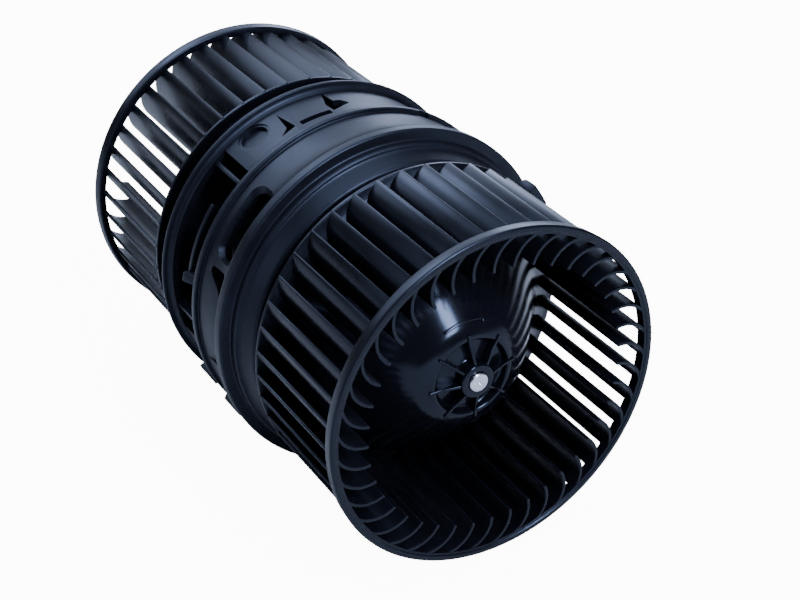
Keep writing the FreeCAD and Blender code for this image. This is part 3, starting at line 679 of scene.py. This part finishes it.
@dataclass
class FanWheel:
    """A squirrel-cage wheel moulded in one piece; depths lead from its rim to the motor."""

    label: str
    rim_station: float
    way: Way
    rim_radius: float = 70.0
    rim_inner: float = 66.4
    rim_depth: float = 5.0
    cage_inner: float = 54.2
    cage_radius: float = 67.6
    cage_length: float = 62.0
    disc_thick: float = 1.5
    blade_count: int = 41
    blade_start: float = 0.7
    blade_edge: float = 0.42
    blade_end_edge: float = 0.15
    blade_thick: float = 1.25
    blade_bend: float = 12.5
    blade_sweep: float = 82.0
    wheel_turn: float = 5.85
    crown_radius: float = 18.5
    crown_depth: float = 18.0
    crown_fall: float = 0.5
    recess_radius: float = 15.5
    recess_depth: float = 3.0
    bell_wall: float = 2.2
    bell: tuple[Corner, ...] = (
        (20.3, 22.4), (24.5, 27.4), (29.0, 32.0), (34.5, 37.0), (40.0, 41.4), (46.0, 46.2),
        (51.5, 50.8), (55.5, 54.8), (58.6, 59.0), (60.5, 62.6), (61.5, 65.0))
    boss_radius: float = 7.1
    boss_depth: float = 14.0
    boss_length: float = 22.0
    boss_bore: float = 4.02
    rib_count: int = 8
    rib_thick: float = 1.2
    rib_reach: float = 19.0
    arrow_start: float = 69.0
    arrow_end: float = 118.0
    arrow_width: float = 1.2
    arrow_height: float = 0.8
    arrow_root: float = -0.5

    def deep(self, corners: Iterable[Corner]) -> list[Corner]:
        """Turns (depth, radius) corners into (station, radius) corners.

        Args:
            corners: The corners.

        Returns:
            The same corners along the shaft.
        """
        return [(self.rim_station + self.way.value * c[0], *c[1:]) for c in corners]

    def hub(self) -> Shape:
        """Boss, dished crown, bell and disc in one wall.

        Returns:
            The closed ring.
        """
        floor = self.crown_depth + self.recess_depth
        under = floor + self.bell_wall
        back = self.cage_length + self.disc_thick
        boss_end = self.boss_depth + self.boss_length
        crown = (self.crown_depth + self.crown_fall, self.crown_radius)
        path = [crown, *self.bell, (self.cage_length, self.cage_radius)]
        inside = []
        for before, here, after in zip(path, path[1:], path[2:]):
            along = Vector((after[0] - before[0], after[1] - before[1])).normalized()
            spot = (here[0] + self.bell_wall * along[1], here[1] - self.bell_wall * along[0])
            if under + 1 < spot[0] < back - 1:
                inside.append(spot)
        corners: list[Corner] = [
            (self.boss_depth, self.boss_bore, 0.5), (self.boss_depth, self.boss_radius, 0.6),
            (floor - 1.6, self.boss_radius, 0.8), (floor, self.recess_radius - 0.6, 1.0),
            (self.crown_depth - 0.1, self.recess_radius + 0.5, 0.8), (*crown, 2.0),
            *((*corner, 1.5) for corner in self.bell),
            (self.cage_length, self.cage_radius, 0.3), (back, self.cage_radius, 0.3),
            (back, inside[-1][1] + self.bell_wall, 0.4), *reversed(inside),
            (under, self.recess_radius, 0.6), (under, self.boss_radius, 0.5),
            (boss_end, self.boss_radius, 0.4), (boss_end, self.boss_bore, 0.3)]
        return lathe(self.deep(corners), steps=180, segments=3)

    def rim(self) -> Shape:
        """The rim's ring with a soft lip, a fine step inside it and a slight taper.

        Returns:
            The closed ring.
        """
        outer, inner = self.rim_radius, self.rim_inner
        return lathe(self.deep([
            (0.5, inner, 0.2), (0.5, inner + 0.9, 0.15), (0.01, inner + 1.2, 0.3),
            (0.01, outer, 0.9), (self.rim_depth, outer - 0.5, 0.5),
            (self.rim_depth, inner, 0.4)]), segments=4)

    def blades(self) -> Shape:
        """The ring of curved blades.

        Returns:
            All blades as one mesh.
        """
        shape = bmesh.new()
        start = self.rim_station + self.way.value * self.blade_start
        reach = self.way.value * (self.cage_length + self.disc_thick / 2 - self.blade_start)
        half = self.blade_thick / 2
        inner = [shape.verts.new((self.cage_inner, start, side)) for side in (-half, half)]
        shape.edges.new(inner)
        bmesh.ops.spin(shape, geom=shape.verts[:] + shape.edges[:],
                       cent=(self.cage_inner, 0, -self.blade_bend), axis=(0, 1, 0),
                       angle=math.radians(self.blade_sweep), steps=12)
        raise_outline(shape, Vector((0, reach, 0)))
        long_edges = [e for e in shape.edges if e.calc_face_angle(0) > BLADE_EDGE_TURN
                      and abs(e.verts[0].co.y - e.verts[1].co.y) > 1]
        round_edges(shape, long_edges, self.blade_edge, 3)
        ends = [e for e in shape.edges if e.calc_face_angle(0) > BLADE_EDGE_TURN
                and all(abs(v.co.y - start) < 0.01 for v in e.verts)]
        round_edges(shape, ends, self.blade_end_edge, 2)
        stand(shape, TOP + self.wheel_turn)
        return turned_copies(shape, self.blade_count)

    def ribs(self) -> Shape:
        """The ribs from the boss across the recess and a little way over the crown.

        Returns:
            All ribs as one mesh.
        """
        root = self.crown_depth + self.recess_depth + 0.5
        sunk, tip = self.boss_radius - 0.6, self.rib_reach - 0.2
        rib = plate(self.deep([
            (self.boss_depth + 0.6, sunk), (self.crown_depth - 0.55, self.recess_radius, 2.0),
            (self.crown_depth - 0.3, tip, 0.25), (self.crown_depth + 0.6, tip),
            (root, self.recess_radius), (root, sunk)]), self.rib_thick, TOP + self.wheel_turn)
        return turned_copies(soften(rib, 0.42, 3), self.rib_count)

    def arrow(self) -> list[Shape]:
        """The raised line on the bell with its head, which shows the way round.

        Returns:
            The line and the head.
        """
        first, second = self.bell[:2]
        along = Vector((second[0] - first[0], second[1] - first[1])).normalized()
        out = Vector((-along[1], along[0]))
        middle = Vector(first) + along * 1.1
        half, low, high = self.arrow_width / 2, self.arrow_root, self.arrow_height

        def spot(across: float, up: float) -> Corner:
            """Places a corner by its way along the slope and its height above it."""
            return tuple(middle + along * across + out * up)

        line = sector(self.deep([spot(-half, low), spot(-half, high), spot(half, high),
                                 spot(half, low)]),
                      (self.arrow_start + self.arrow_end) / 2, self.arrow_end - self.arrow_start)
        head = bmesh.new()
        draw(head, [(-0.4, -0.5), (4.6, -0.5), (-0.4, -2.7), (-1.0, -2.2)],
             lambda corner: Vector((corner[0], *self.deep([spot(corner[1] + 0.9, low)])[0])))
        bottom, top = self.deep([spot(0, low), spot(0, high)])
        raise_outline(head, Vector((0, top[0] - bottom[0], top[1] - bottom[1])))
        return [soften(line, 0.4, 3), soften(stand(head, self.arrow_start + 6), 0.25)]

    def build(self) -> None:
        """Makes the wheel and puts it on the rotor."""
        parts = [self.hub(), self.rim(), self.blades(), self.ribs(), *self.arrow()]
        place(f"{self.label}_moulding", joined(parts), WHEEL_PLASTIC, Body.ROTOR, [self.label])


@dataclass
class Carrier:
    """The two moulded halves that hold the motor between the wheels."""

    collar_start: float = -14.5
    end_wall: float = 2.5
    bore: float = 63.75
    pad_seat_radius: float = 41.0
    pad_seat_wall: float = 3.0
    pad_seat_length: float = 14.0
    pad_seat_width: float = 24.0
    web_thick: float = 2.0
    collar_radius: float = 65.0
    collar_root_radius: float = 67.2
    collar_root: float = -6.4
    shoulder_radius: float = 69.3
    seat_half: float = 3.0
    seat_radius: float = 73.98
    seat_root_radius: float = 71.8
    band_radius: float = 70.5
    band_start: float = 9.0
    bead_start: float = 23.5
    bead_end: float = 26.5
    bead_radius: float = 72.3
    shell_bore: float = 68.0
    waist_radius: float = 67.96
    waist_bore: float = 65.46
    spigot_start: float = 18.0
    flange_start: float = 55.5
    flange_end: float = 57.5
    flange_radius: float = 71.46
    waist_end: float = 64.5
    window_angle: float = 142.0
    window_station: float = 11.0
    window_length: float = 31.0
    window_height: float = 12.0
    window_flare: tuple[float, float] = (1.2, 1.55)
    cut_from: float = 58.0
    cut_to: float = 80.0
    slope_to: float = 74.0
    long_window_angle: float = 178.0
    notch_angle: float = 63.0
    fin_angle: float = 31.5
    fin_width: float = 9.0
    fin_radius: float = 73.4
    pocket_angle: float = 163.0
    pocket_width: float = 70.0
    pocket_start: float = 30.0
    pocket_end: float = 53.5
    pocket_to: float = 76.0
    strut_angle: float = 133.0
    arm_station: float = 37.0
    arm_angle: float = 158.0
    arm_sweep: float = 28.0
    lug_angle: float = 170.0
    post_angle: float = 189.0
    catch_angle: float = 97.8
    long_tooth: tuple[Corner, ...] = (
        (8.4, 37.0, 0.5), (17.6, 41.4, 0.6), (15.2, 45.1, 0.4), (12.2, 45.4, 0.5),
        (11.3, 53.8, 0.3), (7.8, 43.2, 1.0))
    short_tooth: tuple[Corner, ...] = (
        (-9.4, 36.6, 0.5), (-11.0, 50.6, 0.3), (-12.5, 38.4, 0.6), (-16.6, 34.9, 0.3))
    dimple_angle: float = 118.0
    dimple_station: float = 47.0
    dimple_radius: float = 7.0
    hook_angle: float = 210.0
    hook_station: float = 36.0
    hook_radius: float = 72.96
    socket_angle: float = 240.0
    socket_station: float = 45.0
    socket_width: float = 24.0
    socket_height: float = 16.0
    socket_wall: float = 1.8
    socket_top: float = 78.96
    socket_floor: float = 69.46

    def pad_seats(self, outer_face: float, inward: int, web: Sequence[Corner]) -> Shape:
        """The three seats of the rubber pads with the webs behind them.

        Args:
            outer_face: Station of the housing's outer face.
            inward: 1 or -1, towards the motor.
            web: Corners where a web meets the shell.

        Returns:
            Their mesh.
        """
        face, end = outer_face + inward * 0.2, outer_face + inward * self.pad_seat_length
        reach = self.pad_seat_radius + self.pad_seat_wall
        seat = sector([(face, self.pad_seat_radius), (face, reach), (end, reach, 0.6),
                       (end, self.pad_seat_radius, 0.6)], TOP, self.pad_seat_width)
        backing = plate([(end, reach - 1), (outer_face + inward, reach - 1), *web],
                        self.web_thick)
        return turned_copies(joined([soften(seat, 0.3), soften(backing, 0.3)]), 3)

    def near_shell(self) -> Shape:
        """The near half's ring with its windows.

        Returns:
            The carved mesh.
        """
        collar, wall, seat = self.collar_start, self.collar_start + self.end_wall, self.seat_half
        ring = lathe([
            (collar, self.pad_seat_radius, 0.5), (collar, self.collar_radius, 1.6),
            (self.collar_root, self.collar_root_radius, 1.0),
            (self.collar_root, self.shoulder_radius, 1.2), (-seat, self.shoulder_radius, 0.7),
            (-seat, self.seat_radius, 0.9), (seat, self.seat_radius, 2.15),
            (seat, self.seat_root_radius, 0.03), (self.band_start, self.band_radius, 2.5),
            (self.bead_start, self.band_radius, 0.5), (self.bead_start, self.bead_radius, 0.7),
            (self.bead_end, self.bead_radius, 0.7), (self.bead_end, self.shell_bore, 0.3),
            (seat, self.shell_bore, 0.4), (seat, self.bore, 0.4), (wall, self.bore, 0.6),
            (wall, self.pad_seat_radius, 0.5)])
        half = self.window_height / 2
        low, high = self.window_station - half, self.window_station + half
        short = oblong(self.window_length / 2, low, high, half - 1)
        slope_end = self.bead_start - 2
        holes, slopes = [], []
        for turn in BOTH_SIDES:
            holes.append(patch(short, self.window_angle + turn, self.cut_from, self.cut_to,
                               self.band_radius))
            slopes.append(patch(short, self.window_angle + turn, self.shell_bore + 0.2,
                                self.slope_to, self.band_radius, self.window_flare, 1.2))
            long = [(25, low + 1, 1.5), (24, high + 0.5, 1.5), (20, high + 0.5, 1.5),
                    (14.5, 11, 2.5), (-15, 10, 1.0), (-16, low + 0.5, 1.0), (14, low + 0.3)]
            holes.append(patch(long, self.long_window_angle + turn, self.cut_from - 2, self.cut_to,
                               self.band_radius))
            slopes.append(sector([(low, self.shell_bore - 0.6), (slope_end, 70.6),
                                  (slope_end, self.slope_to), (low, self.slope_to)],
                                 self.long_window_angle - 0.5 + turn, 33, steps=30))
            holes.append(boss(oblong(2.5, self.bead_start - 0.5, self.bead_start + 1.4),
                              self.notch_angle + turn, self.band_radius - 0.4, self.cut_to))
        return carved(carved(ring, holes), slopes)

    def near_half(self) -> None:
        """Builds the near housing and puts it on the carrier."""
        collar, bore = self.collar_start, self.bore + 0.5
        parts = [self.near_shell(), self.pad_seats(collar, 1, [
            (collar + 1, bore), (self.collar_root, bore), (collar + self.pad_seat_length, bore)])]
        front, low = collar - 3.5, self.fin_radius - 4
        fin = sector([
            (front, low, 0.6), (front, self.fin_radius, 0.5), (collar + 3.5, self.fin_radius, 1.5),
            (self.collar_root, self.collar_root_radius), (self.collar_root, self.collar_radius),
            (collar + 1, self.collar_radius - 1), (collar + 1, low)],
            self.fin_angle, self.fin_width, steps=10)
        parts.append(soften(fin, 0.35))
        place("near_housing_moulding", joined(parts), CARRIER_PLASTIC, Body.CARRIER,
              ["near_housing"])

    def far_shell(self) -> Shape:
        """The far half's ring with its pockets, catches and dimples.

        Returns:
            The carved mesh.
        """
        bore, skin, end = self.waist_bore, self.waist_radius, self.waist_end
        wall, pads = end - self.end_wall, self.pad_seat_radius
        ring = lathe([
            (self.spigot_start, bore, 0.3), (self.spigot_start, skin, 0.5),
            (self.flange_start, skin, 2.2), (self.flange_start, self.flange_radius, 0.6),
            (self.flange_end, self.flange_radius, 0.6),
            (self.flange_end, self.collar_root_radius, 0.8), (end, self.collar_radius, 1.2),
            (end, pads, 0.5), (wall, pads, 0.5), (wall, self.collar_radius - 2, 0.8),
            (wall - 8, bore, 1.0)])
        inner, outer, middle = bore - 2, self.pocket_to, self.dimple_station
        cutters, wells = [], []
        for turn in BOTH_SIDES:
            cutters.append(sector([
                (self.pocket_start, inner), (self.pocket_start, outer), (self.pocket_end, outer),
                (self.pocket_end, inner)], self.pocket_angle + turn, self.pocket_width, steps=40))
            for outline in (self.long_tooth, self.short_tooth, oblong(7.0, 35.2, 38.3, 0.4)):
                cutters.append(boss(outline, self.catch_angle + turn, self.cut_from,
                                    self.slope_to))
            for radius, depth in ((self.dimple_radius, 0.8), (self.dimple_radius - 1.1, 2.4)):
                across = radius - ROUND_GAP
                wells.append(boss(oblong(across, middle - across, middle + across, across),
                                  self.dimple_angle + turn, skin - depth, outer, 10))
        return carved(carved(carved(ring, cutters), wells[0::2]), wells[1::2])

    def pocket_pieces(self) -> Shape:
        """The strut, spring arm, lug and post that cross each pocket, and the dimple's cup.

        Returns:
            Both sets as one mesh.
        """
        bore, skin, radius = self.waist_bore, self.waist_radius, self.dimple_radius
        low, high, top = self.arm_station - 1.2, self.arm_station + 1.2, skin + 1
        arm = sector([(low, bore), (low, top, 0.5), (high, top, 0.5), (high, bore)],
                     self.arm_angle, self.arm_sweep)
        root, end = self.pocket_start - 1, self.pocket_end + 1
        lug = plate([(root, bore), (root, skin), (self.arm_station, skin + 3.9, 0.8),
                     (high, top), (high, bore)], 4.0, self.lug_angle)
        crossing = [(root, bore - 2), (end, bore - 2), (end, skin - 0.5), (root, skin - 0.5)]
        strut, post = (soften(plate(crossing, self.web_thick, angle), 0.3)
                       for angle in (self.strut_angle, self.post_angle))
        cup = boss(oblong(radius, self.dimple_station - radius, self.dimple_station + radius,
                          radius - ROUND_GAP), self.dimple_angle, 63.6, skin - 2.35, 10)
        return turned_copies(joined([soften(arm, 0.3), soften(lug, 0.35), strut, post, cup]), 2)

    def socket(self) -> Shape:
        """The shroud round the two terminals.

        Returns:
            The carved mesh.
        """
        across, along = self.socket_width / 2, self.socket_height / 2
        middle = self.socket_station
        shroud = boss(oblong(across, middle - along, middle + along, 1.5), self.socket_angle,
                      self.waist_bore + 1.5, self.socket_top)
        inner, depth = across - self.socket_wall, along - self.socket_wall
        mouth = boss(oblong(inner, middle - depth, middle + depth, 0.8), self.socket_angle,
                     self.socket_floor, self.socket_top + 3)
        return soften(carved(shroud, [mouth]), 0.35)

    def far_half(self) -> None:
        """Builds the far housing and puts it on the carrier."""
        end, bore = self.waist_end, self.waist_bore + 1
        parts = [self.far_shell(), self.pocket_pieces(), self.socket(), self.pad_seats(end, -1, [
            (end - 1, self.collar_radius - 1.5), (self.flange_end - 1, bore),
            (end - self.pad_seat_length, bore)])]
        hook = boss(oblong(3, self.hook_station - 5, self.hook_station + 5, 0.8),
                    self.hook_angle, bore, self.hook_radius)
        parts.append(soften(hook, 0.4))
        place("far_housing_moulding", joined(parts), CARRIER_PLASTIC, Body.CARRIER,
              ["far_housing"])

    def build(self) -> None:
        """Makes both halves."""
        self.near_half()
        self.far_half()


@dataclass
class Motor:
    """The drive between the wheels: its drawn parts, and finishes on the rest."""

    shaft_start: float = -71.0
    shaft_end: float = 121.0
    shaft_radius: float = 4.0
    shaft_chamfer: float = 0.4
    mark_depth: float = 0.5
    mark_radius: float = 0.7

    def shaft(self) -> None:
        """Turns the shaft with a small chamfer and a centre mark at each end."""
        side, edge = self.shaft_radius, self.shaft_chamfer
        half = [(self.mark_depth, 0.02), (0.0, self.mark_radius), (0.0, side - edge, 0.1),
                (edge, side, 0.1)]
        rod = lathe([*((self.shaft_start + step, *rest) for step, *rest in half),
                     *((self.shaft_end - step, *rest) for step, *rest in reversed(half))],
                    steps=48, segments=2)
        place("motor_shaft_bright", rod, SHAFT_STEEL, Body.ROTOR, ["motor_shaft"])

    def dress(self, nodes: dict[str, bpy.types.Object], name: str, finish: Finish, body: Body,
              edge: float) -> None:
        """Gives one node of the frame soft edges and its finish, as a merged copy.

        Args:
            nodes: The frame's nodes by name.
            name: The node.
            finish: What it is made of.
            body: The body that carries it.
            edge: Rounding of its sharp edges.
        """
        shape = bmesh.new()
        shape.from_mesh(nodes[name].data)
        bmesh.ops.scale(shape, vec=(1 / MM, 1 / MM, 1 / MM), verts=shape.verts)
        bmesh.ops.remove_doubles(shape, verts=shape.verts, dist=1e-3)
        bmesh.ops.dissolve_limit(shape, angle_limit=math.radians(1), verts=shape.verts,
                                 edges=shape.edges)
        soften(shape, edge)
        place(f"{name}_dressed", shape, finish, body, [name])

    def build(self, nodes: dict[str, bpy.types.Object]) -> None:
        """Makes or dresses every piece of the motor.

        Args:
            nodes: The frame's nodes by name.
        """
        self.shaft()
        still, moving = Body.CARRIER, Body.ROTOR
        pads = [f"{end}_{side}_damper" for end in ("near", "far")
                for side in ("top", "left", "right")]
        for names, finish, body, edge in (
                (pads, RUBBER, still, 0.5),
                (["motor_can", "end_plate"], ZINC_STEEL, still, 0.4),
                (["near_bearing", "far_bearing"], BRONZE, still, 0.3),
                (["near_bearing_retainer", "far_bearing_retainer"], SPRING_STEEL, still, 0.2),
                (["upper_magnet", "lower_magnet"], FERRITE, still, 0.4),
                (["left_magnet_spring", "right_magnet_spring"], SPRING_STEEL, still, 0.2),
                (["armature_core"], CORE_STEEL, moving, 0.1),
                (["armature_winding", "commutator"], COPPER, moving, 0.4),
                (["brush_card"], CARD_PLASTIC, still, 0.2),
                (["upper_brush", "lower_brush"], CARBON, still, 0.2),
                (["upper_brush_spring", "lower_brush_spring"], SPRING_STEEL, still, 0.1),
                (["plus_terminal", "minus_terminal"], TIN_BRASS, still, 0.12)):
            for name in names:
                self.dress(nodes, name, finish, body, edge)


@dataclass(frozen=True)
class SoftBox:
    """A soft lamp, in metres and watts, that faces one point and isn't seen itself."""

    name: str
    at: Point
    aim: Point
    size: tuple[float, float]
    watts: float
    colour: str = COLD_WHITE

    def hang(self) -> None:
        """Makes the lamp and turns it to its point."""
        data = bpy.data.lights.new(self.name, "AREA")
        data.shape, data.size, data.size_y = "RECTANGLE", *self.size
        data.energy, data.color = self.watts, linear(self.colour)[:3]
        made = in_scene(self.name, data)
        made.location = self.at
        facing = Vector(self.aim) - Vector(self.at)
        made.rotation_euler = facing.to_track_quat("-Z", "Y").to_euler()
        made.visible_camera = False


@dataclass
class Studio:
    """Floor, soft lights and the camera at the photograph's angle, in metres."""

    camera_at: Point = (-0.2873, -0.5004, 0.3477)
    camera_tilt: float = 58.85
    camera_turn: float = -30.51
    lens: float = 75.5
    sensor: float = 36.0
    floor_drop: float = 0.0745
    floor_half: float = 6.0
    glow: float = 12.0
    glow_gap: float = 0.0002
    wall_height: float = 6.0
    room_light: float = 0.1
    lamps: tuple[SoftBox, ...] = (
        SoftBox("top_softbox", (0.0, 0.0, 1.3), (0, 0.02, 0), (1.2, 0.9), 16),
        SoftBox("back_softbox", (0.1, 1.21, 0.86), (0, 0.02, 0), (2.2, 0.75), 15),
        SoftBox("blade_softbox", (-0.18, 0.94, 1.02), (0, -0.03, 0.07), (0.5, 0.34), 5),
        SoftBox("right_softbox", (0.94, 0.94, 0.45), (0, 0, 0), (0.6, 0.5), 6),
        SoftBox("left_softbox", (-1.2, 0.3, 0.5), (0, 0.02, 0), (0.8, 0.8), 3),
        SoftBox("front_softbox", (0.09, -0.95, 0.71), (0, -0.05, 0), (0.26, 0.8), 26, "#d4e0ff"))

    def camera(self) -> None:
        """Sets the camera."""
        data = bpy.data.cameras.new("studio_camera")
        data.lens, data.sensor_width = self.lens, self.sensor
        made = in_scene("studio_camera", data)
        made.location = self.camera_at
        made.rotation_euler = (math.radians(self.camera_tilt), 0, math.radians(self.camera_turn))
        bpy.context.scene.camera = made

    def sheet(self, name: str, drop: float, wall: float,
              material: bpy.types.Material) -> bpy.types.Object:
        """Lays one wide flat sheet under the part.

        Args:
            name: Its name.
            drop: How far it lies under the shaft axis.
            wall: How far its edges stand up round the studio.
            material: Its material.

        Returns:
            The sheet, which isn't part of the object.
        """
        shape = bmesh.new()
        bmesh.ops.create_grid(shape, x_segments=1, y_segments=1, size=self.floor_half)
        bmesh.ops.translate(shape, verts=shape.verts, vec=(0, 0, -drop))
        if wall:
            risen = bmesh.ops.extrude_edge_only(shape, edges=shape.edges[:])["geom"]
            bmesh.ops.translate(shape, vec=(0, 0, wall), verts=verts_in(risen))
        mesh = written(name, shape)
        mesh.materials.append(material)
        made = in_scene(name, mesh)
        return made

    def floor(self) -> None:
        """Lays the pale floor and the glow that burns it out to white for the camera alone."""
        paper = Finish("pale_paper", "floor", "#c2c2c0", "#c8c8c6", 0.85, 0.95, ior=1.3,
                       drift_mm=400, grain_mm=3, grain_height_mm=0.01)
        self.sheet("studio_floor", self.floor_drop, 0.0, paper.material())
        glow = blank_material("white_glow")
        tree = glow.node_tree
        lamp = add_node(tree, "ShaderNodeEmission", {
            "Color": linear("#fffdfa"), "Strength": self.glow})
        through = add_node(tree, "ShaderNodeBsdfTransparent")
        both = add_node(tree, "ShaderNodeAddShader", {
            0: lamp.outputs["Emission"], 1: through.outputs["BSDF"]})
        add_node(tree, "ShaderNodeOutputMaterial", {"Surface": both.outputs["Shader"]})
        made = self.sheet("studio_glow", self.floor_drop - self.glow_gap, self.wall_height, glow)
        made.visible_diffuse = made.visible_glossy = made.visible_shadow = False
        made.visible_transmission = False

    def build(self) -> None:
        """Sets the whole stage."""
        self.camera()
        self.floor()
        world = bpy.data.worlds.new("studio_world")
        world.use_nodes = True
        back = world.node_tree.nodes["Background"]
        back.inputs["Color"].default_value = linear("#e8eef8")
        back.inputs["Strength"].default_value = self.room_light
        bpy.context.scene.world = world
        for lamp in self.lamps:
            lamp.hang()


def main() -> None:
    """Dresses the frame and reports each piece."""
    logging.basicConfig(level=logging.INFO, format="%(message)s", stream=sys.stdout)
    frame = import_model()
    Studio().build()
    FanWheel("near_wheel", -84.0, Way.NEAR).build()
    FanWheel("far_wheel", 134.0, Way.FAR).build()
    Carrier().build()
    Motor().build(frame["nodes"])


if __name__ == "__main__":
    main()
